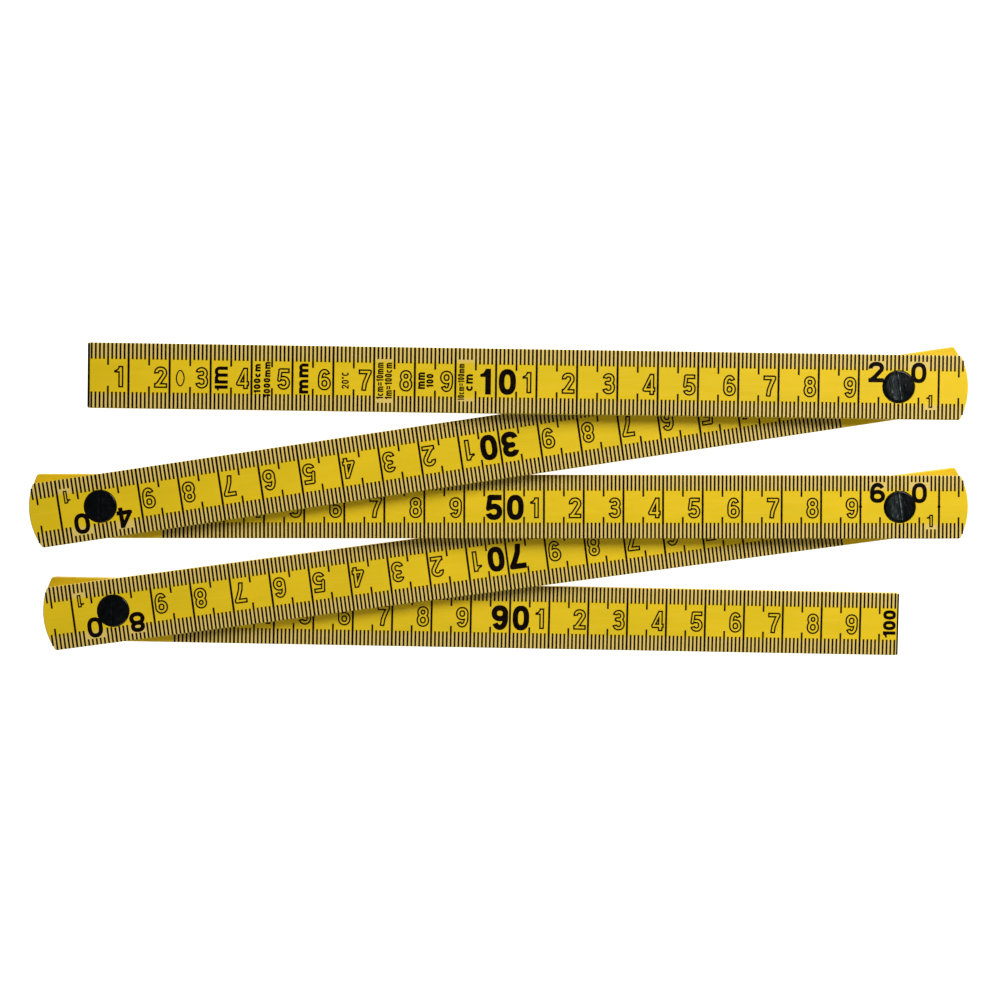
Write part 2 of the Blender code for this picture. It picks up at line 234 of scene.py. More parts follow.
def stack(levels):
    """A closed form through outlines that have the same number of points, each at its height."""
    form = Form()
    count = len(levels[0][1])
    points = [(x, y, z) for z, outline in levels for x, y in outline]
    faces = [tuple(reversed(range(count)))]
    for level in range(len(levels) - 1):
        low, high = level * count, (level + 1) * count
        for i in range(count):
            j = (i + 1) % count
            faces.append((low + i, low + j, high + j, high + i))
    last = (len(levels) - 1) * count
    faces.append(tuple(last + i for i in range(count)))
    form.add(points, faces)
    return form


def plate(name, outline, bottom, top):
    return stack([(bottom, outline), (top, outline)]).mesh(name)


def lathe(name, profile, steps, ring=False):
    """A turned form. Its profile runs down the outer side, and a ring's profile closes on itself."""
    form = Form()
    angles = np.linspace(0, math.tau, steps, endpoint=False)
    on_axis = [x == 0 for x, _ in profile]
    starts = []
    for (x, z), single in zip(profile, on_axis):
        starts.append(len(form.points))
        turned = [(0, 0, z)] if single else [(x * math.cos(a), x * math.sin(a), z) for a in angles]
        form.add(turned, [])
    pairs = list(zip(range(len(profile) - 1), range(1, len(profile))))
    if ring:
        pairs.append((len(profile) - 1, 0))
    for a, b in pairs:
        for i in range(steps):
            j = (i + 1) % steps
            upper = [starts[a]] if on_axis[a] else [starts[a] + i, starts[a] + j]
            lower = [starts[b]] if on_axis[b] else [starts[b] + j, starts[b] + i]
            form.faces.append(tuple(reversed(upper + lower)))
    return form.mesh(name)


def box_mesh(name, low, high):
    outline = [(low[0], low[1]), (high[0], low[1]), (high[0], high[1]), (low[0], high[1])]
    return plate(name, outline, low[2], high[2])


def link(name, mesh):
    obj = bpy.data.objects.new(name, mesh)
    bpy.context.scene.collection.objects.link(obj)
    return obj


def evaluated(obj):
    """A mesh of the object with its modifiers applied."""
    graph = bpy.context.evaluated_depsgraph_get()
    return bpy.data.meshes.new_from_object(obj.evaluated_get(graph), depsgraph=graph)


def cut(mesh, cutters):
    """The mesh with each cutter taken away."""
    body = link("body", mesh)
    tools = []
    for cutter in cutters:
        tool = link("tool", cutter)
        boolean = body.modifiers.new("Cut", "BOOLEAN")
        boolean.object = tool
        tools.append(tool)
    made = evaluated(body)
    for obj in (body, *tools):
        bpy.data.objects.remove(obj)
    return made


def finish_mesh(mesh):
    """Smooth shading that keeps flat faces flat and hard edges hard."""
    mesh.shade_smooth()
    mesh.set_sharp_from_angle(angle=math.radians(SHARP_DEG))
    body = link("body", mesh)
    weighted = body.modifiers.new("Normals", "WEIGHTED_NORMAL")
    weighted.keep_sharp = True
    made = evaluated(body)
    bpy.data.objects.remove(body)
    return made


def joined(first, second):
    """One mesh from two."""
    form = bmesh.new()
    form.from_mesh(first)
    form.from_mesh(second)
    form.to_mesh(first)
    form.free()
    return first


def keep_place(mesh, offset):
    """Stores each point's place in the piece's own frame, which the materials read."""
    places = np.empty(len(mesh.vertices) * 3, np.float32)
    mesh.vertices.foreach_get("co", places)
    places = (places.reshape(-1, 3) + np.array(offset, np.float32)).ravel()
    mesh.attributes.new("place", "FLOAT_VECTOR", "POINT").data.foreach_set("vector", places)


def put(name, mesh, matrix, body, material, replaces=()):
    """The mesh as a piece that rides on a body."""
    mesh.name = name
    mesh.materials.clear()
    mesh.materials.append(material)
    piece = link(name, mesh)
    piece.matrix_world = matrix
    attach(piece, body)
    if replaces:
        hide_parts(*replaces)
    return piece


# Materials


def new_material(name):
    material = bpy.data.materials.new(name)
    material.use_nodes = True
    tree = material.node_tree
    return material, tree, tree.nodes["Principled BSDF"]


def add(tree, kind, inputs=None, **settings):
    """A node whose inputs are values or other nodes' sockets. Gives its first output."""
    made = tree.nodes.new(kind)
    for key, value in settings.items():
        setattr(made, key, value)
    for key, value in (inputs or {}).items():
        if isinstance(value, bpy.types.NodeSocket):
            tree.links.new(value, made.inputs[key])
        else:
            made.inputs[key].default_value = value
    return made.outputs[0]


def read_place(tree, scale=(1, 1, 1)):
    """The place in the piece's own frame, in millimetres, stretched by scale."""
    attribute = tree.nodes.new("ShaderNodeAttribute")
    attribute.attribute_name = "place"
    factors = tuple(1000 * s for s in scale)
    return add(
        tree, "ShaderNodeVectorMath", {0: attribute.outputs["Vector"], 1: factors}, operation="MULTIPLY"
    )


def noise(tree, vector, scale, detail, roughness):
    inputs = {"Vector": vector, "Scale": scale, "Detail": detail, "Roughness": roughness}
    return add(tree, "ShaderNodeTexNoise", inputs)


def math_node(tree, operation, a, b=0.0):
    return add(tree, "ShaderNodeMath", {0: a, 1: b}, operation=operation)


def plus(tree, a, b):
    return math_node(tree, "ADD", a, b)


def minus(tree, a, b):
    return math_node(tree, "SUBTRACT", a, b)


def times(tree, a, b):
    return math_node(tree, "MULTIPLY", a, b)


def spread(tree, value, low, high, out_low=0.0, out_high=1.0):
    """Value moved from the range low..high to out_low..out_high, and held there."""
    inputs = {"Value": value, "From Min": low, "From Max": high, "To Min": out_low, "To Max": out_high}
    return add(tree, "ShaderNodeMapRange", inputs)


def mix_colour(tree, factor, a, b):
    inputs = {0: factor, 6: a, 7: b}
    return add(tree, "ShaderNodeMix", inputs, data_type="RGBA").node.outputs[2]


def bump(tree, height, strength, distance, below=None):
    made = tree.nodes.new("ShaderNodeBump")
    made.inputs["Strength"].default_value = strength
    made.inputs["Distance"].default_value = distance
    tree.links.new(height, made.inputs["Height"])
    if below is not None:
        tree.links.new(below, made.inputs["Normal"])
    return made.outputs["Normal"]


def printed_span(tree, x, z):
    """1 over the length of a face that is printed, and 0 past the print's two ends."""
    front = spread(tree, z, *MIDDLE_MM)
    back = minus(tree, 1.0, front)
    own = math_node(tree, "MODULO", plus(tree, x, PLACE_LEAD_MM), PLACE_STEP_MM)
    own = minus(tree, own, PLACE_LEAD_MM)
    turned = minus(tree, PITCH_MM, own)
    shift = times(tree, front, minus(tree, own, turned))
    reading = plus(tree, turned, shift)
    # Blade 1's front and blade 5's back are printed from 0.
    on_blade_1 = times(tree, front, spread(tree, x, *AFTER_BLADE_1_MM, 1, 0))
    on_blade_5 = times(tree, back, spread(tree, x, *BEFORE_BLADE_5_MM))
    from_zero = math_node(tree, "MAXIMUM", on_blade_1, on_blade_5)
    begun = math_node(tree, "MAXIMUM", spread(tree, reading, *FADE_IN_MM), from_zero)
    return times(tree, begun, spread(tree, reading, *FADE_OUT_MM, 1, 0))


def yellow_plastic():
    """Moulded yellow plastic: clouded colour, lengthwise scratches, rubbed edges."""
    material, tree, shader = new_material("yellow_plastic")
    clouds = noise(tree, read_place(tree, (0.4, 1, 1)), 0.09, 4.0, 0.55)
    grain = noise(tree, read_place(tree), 2.4, 4.0, 0.6)
    streaks = noise(tree, read_place(tree, (0.06, 1, 1)), 1.7, 5.0, 0.65)
    scratches = noise(tree, read_place(tree, (0.035, 1.6, 1)), 4.2, 2.0, 0.4)

    warm = (0.700, 0.466, 0.0080, 1)
    deep = (0.620, 0.425, 0.0065, 1)
    colour = mix_colour(tree, spread(tree, clouds, 0.34, 0.66), deep, warm)
    pale = (0.730, 0.500, 0.0180, 1)
    colour = mix_colour(tree, spread(tree, streaks, 0.52, 0.78, 0, 0.35), colour, pale)

    # The faces are paler under the ticks. Handling leaves the edges paler and the scratches dusty.
    parts = add(tree, "ShaderNodeSeparateXYZ", {0: read_place(tree)}).node.outputs
    from_middle = math_node(tree, "ABSOLUTE", parts["Y"])
    ticks = spread(tree, from_middle, 4.0, 5.0)
    pale_band = times(tree, ticks, spread(tree, from_middle, 7.7, 7.95, 1, 0.3))
    pale_band = times(tree, pale_band, printed_span(tree, parts["X"], parts["Z"]))
    cream = (0.635, 0.450, 0.1180, 1)
    colour = mix_colour(tree, pale_band, colour, cream)
    edge = spread(tree, from_middle, 7.55, 7.95)
    rubbed = times(tree, edge, spread(tree, grain, 0.42, 0.66))
    worn = (0.760, 0.560, 0.0600, 1)
    colour = mix_colour(tree, times(tree, rubbed, 0.5), colour, worn)
    fine = spread(tree, scratches, 0.70, 0.76)
    grime = (0.330, 0.235, 0.0200, 1)
    colour = mix_colour(tree, times(tree, fine, 0.22), colour, grime)
    tree.links.new(colour, shader.inputs["Base Color"])

    rough = spread(tree, streaks, 0.3, 0.7, 0.30, 0.44)
    rough = plus(tree, rough, times(tree, rubbed, 0.12))
    rough = plus(tree, rough, times(tree, fine, 0.14))
    tree.links.new(rough, shader.inputs["Roughness"])
    shader.inputs["Specular IOR Level"].default_value = 0.32

    soft = bump(tree, grain, 0.10, 0.02 * MM)
    long = bump(tree, streaks, 0.12, 0.03 * MM, soft)
    cuts = bump(tree, minus(tree, 1.0, fine), 0.15, 0.01 * MM, long)
    tree.links.new(cuts, shader.inputs["Normal"])
    return material


def black_plastic(name, scuff_and_sheen):
    """Glossy black acetal with a faint blue cast. A haze dulls and lightens it, most on the groove's +X side. The
    haze is partly scuffing and partly painted sheen, and the groove's lip carries a painted glint.
    """
    material, tree, shader = new_material(name)
    mottle = noise(tree, read_place(tree), 0.75, 4.0, 0.6)
    fine = noise(tree, read_place(tree), 5.0, 3.0, 0.6)
    scuffs = noise(tree, read_place(tree, (1.6, 0.16, 1)), 2.4, 4.0, 0.6)
    parts = add(tree, "ShaderNodeSeparateXYZ", {0: read_place(tree)}).node
    x, y = parts.outputs["X"], parts.outputs["Y"]
    squares = plus(tree, times(tree, x, x), times(tree, y, y))
    inside_rim = spread(tree, math_node(tree, "SQRT", squares), 3.0, 3.5, scuff_and_sheen, 0)

    dark = (0.0007, 0.0008, 0.0011, 1)
    lighter = (0.0022, 0.0026, 0.0036, 1)
    colour = mix_colour(tree, spread(tree, mottle, 0.38, 0.66), dark, lighter)
    # The haze is partly scuffs and partly painted sheen. It is full on the scuffed heads and faint on the glossy
    # ones.
    scuff_sheen_haze = times(tree, spread(tree, x, -1.2, 0.8, 0.12, 1), inside_rim)
    scuff_sheen_haze = times(tree, scuff_sheen_haze, spread(tree, x, 1.8, 3.0, 1, 0.3))
    scuff_sheen_haze = times(tree, scuff_sheen_haze, spread(tree, scuffs, 0.38, 0.62, 0.2, 1))
    colour = mix_colour(tree, scuff_sheen_haze, colour, (0.0150, 0.0210, 0.0220, 1))
    scribble = noise(tree, read_place(tree, (1, 0.5, 1)), 2.1, 5.0, 0.7)
    marks = times(tree, scuff_sheen_haze, spread(tree, scribble, 0.56, 0.66))
    colour = mix_colour(tree, marks, colour, (0.1500, 0.1650, 0.1650, 1))
    # Painted highlight: a bright line along one lip of the groove, where a lamp's glint would fall.
    from_glint = math_node(tree, "ABSOLUTE", plus(tree, x, 0.3))
    painted_glint = times(tree, spread(tree, from_glint, 0.04, 0.13, 1, 0), inside_rim)
    painted_glint = times(tree, painted_glint, spread(tree, scribble, 0.44, 0.60))
    colour = mix_colour(tree, painted_glint, colour, (0.1800, 0.2000, 0.2000, 1))
    tree.links.new(colour, shader.inputs["Base Color"])

    rough = spread(tree, mottle, 0.3, 0.7, 0.16, 0.26)
    rough = plus(tree, rough, times(tree, scuff_sheen_haze, 0.22))
    tree.links.new(rough, shader.inputs["Roughness"])
    shader.inputs["Specular IOR Level"].default_value = 0.26
    soft = bump(tree, mottle, 0.15 + 0.2 * scuff_and_sheen, 0.04 * MM)
    lines = bump(tree, scuffs, 0.08 + 0.25 * scuff_and_sheen, 0.03 * MM, soft)
    pits = bump(tree, fine, 0.10, 0.015 * MM, lines)
    tree.links.new(pits, shader.inputs["Normal"])
    return material


def spring_steel():
    """Bright stamped steel with fine grinding lines."""
    material, tree, shader = new_material("spring_steel")
    coordinates = tree.nodes.new("ShaderNodeTexCoord").outputs["Object"]
    metres = add(
        tree, "ShaderNodeVectorMath", {0: coordinates, 1: (1000, 12000, 1000)}, operation="MULTIPLY"
    )
    lines = noise(tree, metres, 0.6, 4.0, 0.6)
    colour = mix_colour(tree, lines, (0.46, 0.46, 0.47, 1), (0.62, 0.62, 0.63, 1))
    tree.links.new(colour, shader.inputs["Base Color"])
    tree.links.new(spread(tree, lines, 0.3, 0.7, 0.24, 0.40), shader.inputs["Roughness"])
    shader.inputs["Metallic"].default_value = 1.0
    tree.links.new(bump(tree, lines, 0.15, 0.01 * MM), shader.inputs["Normal"])
    return material


def black_ink():
    """Dark brown-black printing ink, a little thin in places."""
    material, tree, shader = new_material("black_ink")
    cover = noise(tree, read_place(tree), 1.1, 4.0, 0.65)
    specks = noise(tree, read_place(tree), 6.5, 3.0, 0.7)
    colour = mix_colour(
        tree, spread(tree, cover, 0.40, 0.72), (0.0014, 0.0006, 0.0004, 1), (0.0080, 0.0026, 0.0008, 1)
    )
    thin = spread(tree, specks, 0.66, 0.76, 0, 0.3)
    colour = mix_colour(tree, thin, colour, (0.090, 0.050, 0.0040, 1))
    tree.links.new(colour, shader.inputs["Base Color"])
    tree.links.new(spread(tree, cover, 0.3, 0.7, 0.30, 0.42), shader.inputs["Roughness"])
    shader.inputs["Specular IOR Level"].default_value = 0.08
    tree.links.new(bump(tree, specks, 0.15, 0.008 * MM), shader.inputs["Normal"])
    return material


# The blades


def round_end(radius, inset):
    """The end past a pivot at the origin, from its upper corner to its lower one, pointing to -X."""
    half, big, small = HALF_WIDTH - inset, radius - inset, TAIL_CORNER - inset
    corner_x = -math.sqrt((big - small) ** 2 - (half - small) ** 2)
    turn = math.degrees(math.atan2(half - small, -corner_x))
    upper = arc((corner_x, half - small), small, 90, 180 - turn, CORNER_STEPS)
    tail = arc((0, 0), big, 180 - turn, 180 + turn, TAIL_STEPS)
    lower = arc((corner_x, small - half), small, 180 + turn, 270, CORNER_STEPS)
    return upper + tail[1:-1] + lower


def square_end(inset):
    """The cut-off end at the origin, pointing to -X."""
    half, small = HALF_WIDTH - inset, END_CORNER - inset
    upper = arc((inset + small, half - small), small, 90, 180, CORNER_STEPS)
    lower = arc((inset + small, small - half), small, 180, 270, CORNER_STEPS)
    return upper + lower


def blade_outline(number, inset):
    """Anticlockwise, with the low reading at the origin."""
    low = square_end(inset) if number == 1 else round_end(LOWER_TAIL_RADIUS, inset)
    high = square_end(inset) if number == BLADE_COUNT else round_end(UPPER_TAIL_RADIUS, inset)
    return low + [(PITCH - x, -y) for x, y in high]


def blade_form(number):
    """The blade with rounded edges and a fine parting line round its rim."""
    turns = [math.pi / 2 * i / EDGE_STEPS for i in range(EDGE_STEPS + 1)]
    rise = [(EDGE_RADIUS * (1 - math.cos(a)), EDGE_RADIUS * (1 - math.sin(a))) for a in turns]
    middle = THICKNESS / 2
    parting = [
        (middle - PARTING_HALF_WIDTH, 0),
        (middle, -PARTING_HEIGHT),
        (middle + PARTING_HALF_WIDTH, 0),
    ]
    fall = [(THICKNESS - z, inset) for z, inset in reversed(rise)]
    return stack([(z, blade_outline(number, inset)) for z, inset in rise + parting + fall])


def moved(mesh, x):
    mesh.transform(Matrix.Translation((x, 0, 0)))
    return mesh


def upper_seat_cutters():
    """At the pivot where the blade turns on a button: the head's steps, the bore, the noses' track."""
    top = THICKNESS
    head_floor = top - HEAD_SEAT_DEPTH
    spring_floor = head_floor - SPRING_SEAT_DEPTH
    head, spring, bore = HEAD_RADIUS + CLEARANCE, SPRING_RADIUS + CLEARANCE, SHANK_RADIUS + RUNNING_CLEARANCE
    steps = [
        (0, top + OVERRUN),
        (head + RIM_CHAMFER + OVERRUN, top + OVERRUN),
        (head, top - RIM_CHAMFER),
        (head, head_floor),
        (spring, head_floor),
        (spring, spring_floor),
        (bore, spring_floor),
        (bore, -OVERRUN),
        (0, -OVERRUN),
    ]
    inner, outer = NOSE_CIRCLE - NOSE_RADIUS - CLEARANCE, NOSE_CIRCLE + NOSE_RADIUS + CLEARANCE
    track = [(outer, TRACK_DEPTH), (outer, -OVERRUN), (inner, -OVERRUN), (inner, TRACK_DEPTH)]
    cutters = [lathe("seat", steps, FINE_STEPS), lathe("track", track, HIDDEN_STEPS, ring=True)]
    for quarter in range(4):
        angle = math.radians(90 * quarter)
        centre = (NOSE_CIRCLE * math.cos(angle), NOSE_CIRCLE * math.sin(angle))
        cutters.append(plate("pocket", circle(centre, POCKET_RADIUS), -OVERRUN, POCKET_DEPTH))
    return cutters


def lower_seat_cutters():
    """At the pivot where the blade holds a button: the keyed bore, the ring's recess, the cap's seat."""
    bore = SHANK_RADIUS + RUNNING_CLEARANCE
    turn = math.degrees(math.asin((SHANK_FLAT + RUNNING_CLEARANCE) / bore))
    keyed = arc((0, 0), bore, -turn, turn, 16) + arc((0, 0), bore, 180 - turn, 180 + turn, 16)
    radius, root = RING_RADIUS + CLEARANCE, LUG_HALF_WIDTH + CLEARANCE
    tip, reach = root - LUG_TAPER, LUG_REACH + CLEARANCE
    turn = math.degrees(math.asin(root / radius))
    recess = arc((0, 0), radius, turn, 180 - turn, 24) + [(-reach, tip), (-reach, -tip)]
    recess += arc((0, 0), radius, 180 + turn, 360 - turn, 24) + [(reach, -tip), (reach, tip)]
    cap = CAP_RADIUS + CLEARANCE
    seat = [
        (0, CAP_SEAT_DEPTH),
        (cap, CAP_SEAT_DEPTH),
        (cap, RIM_CHAMFER),
        (cap + RIM_CHAMFER + OVERRUN, -OVERRUN),
        (0, -OVERRUN),
    ]
    return [
        plate("keyed_bore", keyed, -OVERRUN, THICKNESS + OVERRUN),
        plate("ring_recess", recess, THICKNESS - RING_SEAT_DEPTH, THICKNESS + OVERRUN),
        lathe("cap_seat", seat, FINE_STEPS),
    ]


def blade_matrix(number):
    low, high = READING_POINTS[number - 1], READING_POINTS[number]
    heading = math.atan2(high.y - low.y, high.x - low.x)
    return Matrix.Translation((low.x, low.y, BOTTOMS[number])) @ Matrix.Rotation(heading, 4, "Z")


def make_blade(number):
    cutters = []
    if number < BLADE_COUNT:
        cutters += [moved(cutter, PITCH) for cutter in upper_seat_cutters()]
    if number > 1:
        cutters += lower_seat_cutters()
    mesh = finish_mesh(cut(blade_form(number).mesh("blade"), cutters))
    keep_place(mesh, (number * PLACE_STEP, 0, 0))
    name = f"blade_{number}"
    put(f"{name}_body", mesh, blade_matrix(number), name, YELLOW, [name])


# The joints' pieces


def lower_matrix(number, pivot):
    """A frame on a pivot's axis, turned with the lower blade and standing on its underside."""
    turn = blade_matrix(number).to_3x3().to_4x4()
    return Matrix.Translation((pivot.x, pivot.y, BOTTOMS[number])) @ turn


def button_mesh():
    top = LAYER + THICKNESS
    floor = top - HEAD_HEIGHT
    shank_foot = CAP_SEAT_DEPTH + FLOAT
    spigot_foot = CAP_RECESS + CAP_FLOOR + FLOAT
    flat = HEAD_RADIUS - HEAD_EDGE
    crown = [(flat * t, top + HEAD_CROWN * (1 - t * t)) for t in np.linspace(0, 1, 15)[:-1]]
    turns = np.linspace(0, math.pi / 2, 8)
    edge = [(flat + HEAD_EDGE * math.sin(a), top - HEAD_EDGE * (1 - math.cos(a))) for a in turns]
    shank = [
        (HEAD_RADIUS, floor),
        (SHANK_RADIUS, floor),
        (SHANK_RADIUS, shank_foot),
        (SPIGOT_RADIUS, shank_foot),
        (SPIGOT_RADIUS, spigot_foot),
        (0, spigot_foot),
    ]
    crown[0] = (0, crown[0][1])
    body = lathe("button", crown + edge + shank, FINE_STEPS)
    reach = HEAD_RADIUS + OVERRUN
    high = top + HEAD_CROWN
    bottom = high - GROOVE_DEPTH
    across = [
        (-GROOVE_HALF_WIDTH, bottom),
        (GROOVE_HALF_WIDTH, bottom),
        (GROOVE_HALF_WIDTH * GROOVE_FLARE, high + OVERRUN / 4),
        (-GROOVE_HALF_WIDTH * GROOVE_FLARE, high + OVERRUN / 4),
    ]
    groove = plate("groove", across, -reach, reach)
    groove.transform(Matrix.Rotation(math.pi / 2, 4, "X"))
    flats_top = THICKNESS - RING_SEAT_DEPTH + FLOAT
    side = SHANK_RADIUS + OVERRUN
    flats = [
        box_mesh("flat", (-side, SHANK_FLAT, CAP_SEAT_DEPTH), (side, side, flats_top)),
        box_mesh("flat", (-side, -side, CAP_SEAT_DEPTH), (side, -SHANK_FLAT, flats_top)),
    ]
    made = finish_mesh(cut(body, [groove, *flats]))
    return joined(made, nub_mesh(high))


def nub_mesh(high):
    """The trace of the moulding gate, beside the groove."""
    turns = np.linspace(0, math.pi / 2, 6)
    foot = high - HEAD_CROWN
    dome = [(NUB_RADIUS * math.sin(a), high - NUB_HEIGHT * (1 - math.cos(a))) for a in turns]
    dome[0] = (0, dome[0][1])
    nub = lathe("nub", dome + [(NUB_RADIUS, foot), (0, foot)], 24)
    nub.transform(Matrix.Translation((NUB_X, 0, 0)))
    nub.shade_smooth()
    return nub


def cap_mesh():
    bottom = CAP_RECESS
    top = CAP_RECESS + CAP_HEIGHT
    socket = SPIGOT_RADIUS + FLOAT
    turns = np.linspace(0, math.pi / 2, 6)
    edge = [
        (CAP_RADIUS - CAP_EDGE * (1 - math.cos(a)), bottom + CAP_EDGE * (1 - math.sin(a))) for a in turns
    ]
    dimple = [
        (CAP_DIMPLE_RADIUS, bottom),
        (CAP_DIMPLE_RADIUS - CAP_DIMPLE_DEPTH, bottom + CAP_DIMPLE_DEPTH),
        (0, bottom + CAP_DIMPLE_DEPTH),
    ]
    socket_wall = [
        (0, bottom + CAP_FLOOR),
        (socket, bottom + CAP_FLOOR),
        (socket, top),
        (CAP_RADIUS, top),
    ]
    return finish_mesh(lathe("cap", socket_wall + edge + dimple, FINE_STEPS))


def make_joint(number):
    """The pieces on the pivot that the blade of this number shares with the one over it."""
    reading = (number - 1) * 20
    pivot = JOINTS[f"joint_{reading}"]
    matrix = lower_matrix(number, pivot)
    body = f"blade_{number}"
    # The heads at 20 and 60 sit on the lamps' side. Their black has a haze that is partly scuffs and partly
    # painted sheen.
    black = SCUFFED_SHEEN_BLACK if reading in (20, 60) else GLOSSY_BLACK
    for name, mesh in (("pivot_button", button_mesh()), ("retaining_cap", cap_mesh())):
        keep_place(mesh, (0, 0, reading * MM))
        node = f"{name}_{reading}"
        put(f"{node}_body", mesh, matrix, body, black, [node])
    for name in ("disc_spring", "detent_ring"):
        node = frame["nodes"][f"{name}_{reading}"]
        node.data.materials.clear()
        node.data.materials.append(STEEL)


# Figures. Each is a set of strokes in a box of a width and a height, of an outer stroke 2 * r wide.


def oval(cx, cy, rx, ry, start_deg, end_deg, squareness=2.2, steps=40):
    points = []
    for a in np.radians(np.linspace(start_deg, end_deg, steps + 1)):
        c, s = math.cos(a), math.sin(a)
        x = cx + rx * math.copysign(abs(c) ** (2 / squareness), c)
        y = cy + ry * math.copysign(abs(s) ** (2 / squareness), s)
        points.append((x, y))
    return points


def ring_of(cx, cy, rx, ry, squareness=2.2):
    return {"points": oval(cx, cy, rx, ry, 0, 360, squareness, 64), "ends": (False, False)}


def stroke(points, start_cut=True, end_cut=True, weight=1.0):
    return {"points": points, "ends": (start_cut, end_cut), "weight": weight}


def area(points):
    return {"area": points}


def figure_0(w, h, r):
    return [ring_of(w / 2, h / 2, w / 2 - r, h / 2 - r, 2.5)]


def figure_1(w, h, r):
    stem = w - 2 * r
    flag = [(0, 0.68 * h), (0, 0.79 * h), (0.30 * w, 0.84 * h), (0.56 * w, h), (w, h), (w, 0.68 * h)]
    return [area([(stem, 0), (w, 0), (w, h), (stem, h)]), area(flag)]


def figure_2(w, h, r):
    bowl_y = h - 0.30 * h
    bowl = oval(w / 2, bowl_y, w / 2 - r, 0.30 * h - r, 190, -38)
    return [
        stroke(bowl + [(0.42 * w, 0.27 * h), (1.15 * r, 1.0 * r)], True, False),
        stroke([(0, r), (w, r)]),
    ]


def two_bowls(w, h, r, waist, upper_inset):
    top = (h - (waist * h - r)) / 2
    low = (waist * h + r) / 2
    upper = (w / 2, h - top, w / 2 - r - upper_inset, top - r)
    lower = (w / 2, low, w / 2 - r, low - r)
    return upper, lower


def figure_3(w, h, r):
    upper, lower = two_bowls(w, h, r, 0.53, 0.03 * w)
    return [
        stroke(oval(*upper, 172, -90) + [(0.36 * w, 0.53 * h)], True, False),
        stroke([(0.36 * w, 0.53 * h)] + oval(*lower, 90, -168), False, True),
    ]


def figure_4(w, h, r):
    stem = 0.72 * w
    return [
        stroke([(stem, 0), (stem, h)]),
        stroke([(0.9 * r, 0.26 * h), (w, 0.26 * h)], False, True),
        stroke([(0.9 * r, 0.26 * h), (stem - 0.3 * r, h - 0.9 * r)], False, False, 0.9),
    ]


def figure_5(w, h, r):
    bowl = oval(w / 2, 0.325 * h, w / 2 - r, 0.325 * h - r, 138, -165)
    return [
        stroke([(0.96 * w, h - r), (0.27 * w, h - r)], True, False),
        stroke([(0.27 * w, h - r), (0.16 * w + 0.1 * r, 0.46 * h)], False, False, 0.9),
        stroke(bowl, False, True),
    ]


def figure_6(w, h, r):
    return [
        ring_of(w / 2, 0.325 * h, w / 2 - r, 0.325 * h - r),
        stroke(oval(w / 2, h / 2, w / 2 - r, h / 2 - r, 200, 34), False, True),
    ]


def figure_7(w, h, r):
    leg = [(w - 0.9 * r, h - r), (0.66 * w, 0.66 * h), (0.46 * w, 0.34 * h), (0.38 * w, 0)]
    return [stroke([(0, h - r), (w - 0.9 * r, h - r)], True, False), stroke(leg, False, True)]


def figure_8(w, h, r):
    upper, lower = two_bowls(w, h, r, 0.54, 0.04 * w)
    return [ring_of(*upper), ring_of(*lower)]


def figure_9(w, h, r):
    turned = figure_6(w, h, r)
    for one in turned:
        one["points"] = [(w - x, h - y) for x, y in one["points"]]
    return turned


def letter_m(w, h, r):
    span = (w - 2 * r) / 4
    strokes = [stroke([(r, 0), (r, h)])]
    for middle in (r + span, r + 3 * span):
        arch = oval(middle, h - r - span, span, span, 180, 0)
        strokes.append(stroke(arch + [(middle + span, 0)], False, True))
    return strokes


def letter_c(w, h, r):
    return [stroke(oval(w / 2, h / 2, w / 2 - r, h / 2 - r, 40, 320))]


def equals_sign(w, h, r):
    return [stroke([(0, 0.34 * h), (w, 0.34 * h)]), stroke([(0, 0.66 * h), (w, 0.66 * h)])]


def plain_oval(w, h, r):
    return [ring_of(w / 2, h / 2, w / 2 - r, h / 2 - r, 1.8)]


def degree_ring(w, h, r):
    radius = w / 2 - r
    return [ring_of(w / 2, h - w / 2, radius, radius, 2)]


DIGITS = [
    figure_0, figure_1, figure_2, figure_3, figure_4, figure_5, figure_6, figure_7, figure_8, figure_9
]
FIGURES = {
    **{str(value): digit for value, digit in enumerate(DIGITS)},
    "m": letter_m,
    "M": letter_m,
    "c": letter_c,
    "C": letter_c,
    "=": equals_sign,
    "o": degree_ring,
    "O": plain_oval,
}


def area_field(points, corners):
    """How far outside a straight-sided area each point is."""
    start = np.array(corners)
    end = np.roll(start, -1, axis=0)
    along = end - start
    offset = points[:, None, :] - start[None, :, :]
    share = np.clip((offset * along).sum(2) / (along**2).sum(1), 0, 1)
    away = np.sqrt(((offset - share[:, :, None] * along) ** 2).sum(2)).min(1)
    rise = np.where(along[:, 1] == 0, 1e-12, along[:, 1])
    spans = (start[:, 1] > points[:, None, 1]) != (end[:, 1] > points[:, None, 1])
    before = points[:, None, 0] < start[:, 0] + (points[:, None, 1] - start[:, 1]) * along[:, 0] / rise
    inside = (spans & before).sum(1) % 2 == 1
    return np.where(inside, -away, away)


def stroke_field(points, one, r):
    """How far outside one stroke each point is, with its flat ends cut off square."""
    half = r * one.get("weight", 1.0)
    path = np.array(one["points"])
    start, end = path[:-1], path[1:]
    along = end - start
    lengths = np.maximum((along**2).sum(1), 1e-18)
    offset = points[:, None, :] - start[None, :, :]
    share = np.clip((offset * along).sum(2) / lengths, 0, 1)
    nearest = offset - share[:, :, None] * along
    field = np.sqrt((nearest**2).sum(2)).min(1) - half
    tips = ((path[0], path[0] - path[1]), (path[-1], path[-1] - path[-2]))
    for is_cut, (tip, direction) in zip(one["ends"], tips):
        if is_cut:
            # Only points near the tip are cut, so a curved stroke keeps its far side.
            direction = direction / np.linalg.norm(direction)
            beyond = (points - tip) @ direction
            near = FLAT_END_REACH * half - np.linalg.norm(points - tip, axis=1)
            field = np.maximum(field, np.minimum(beyond, near))
    return field


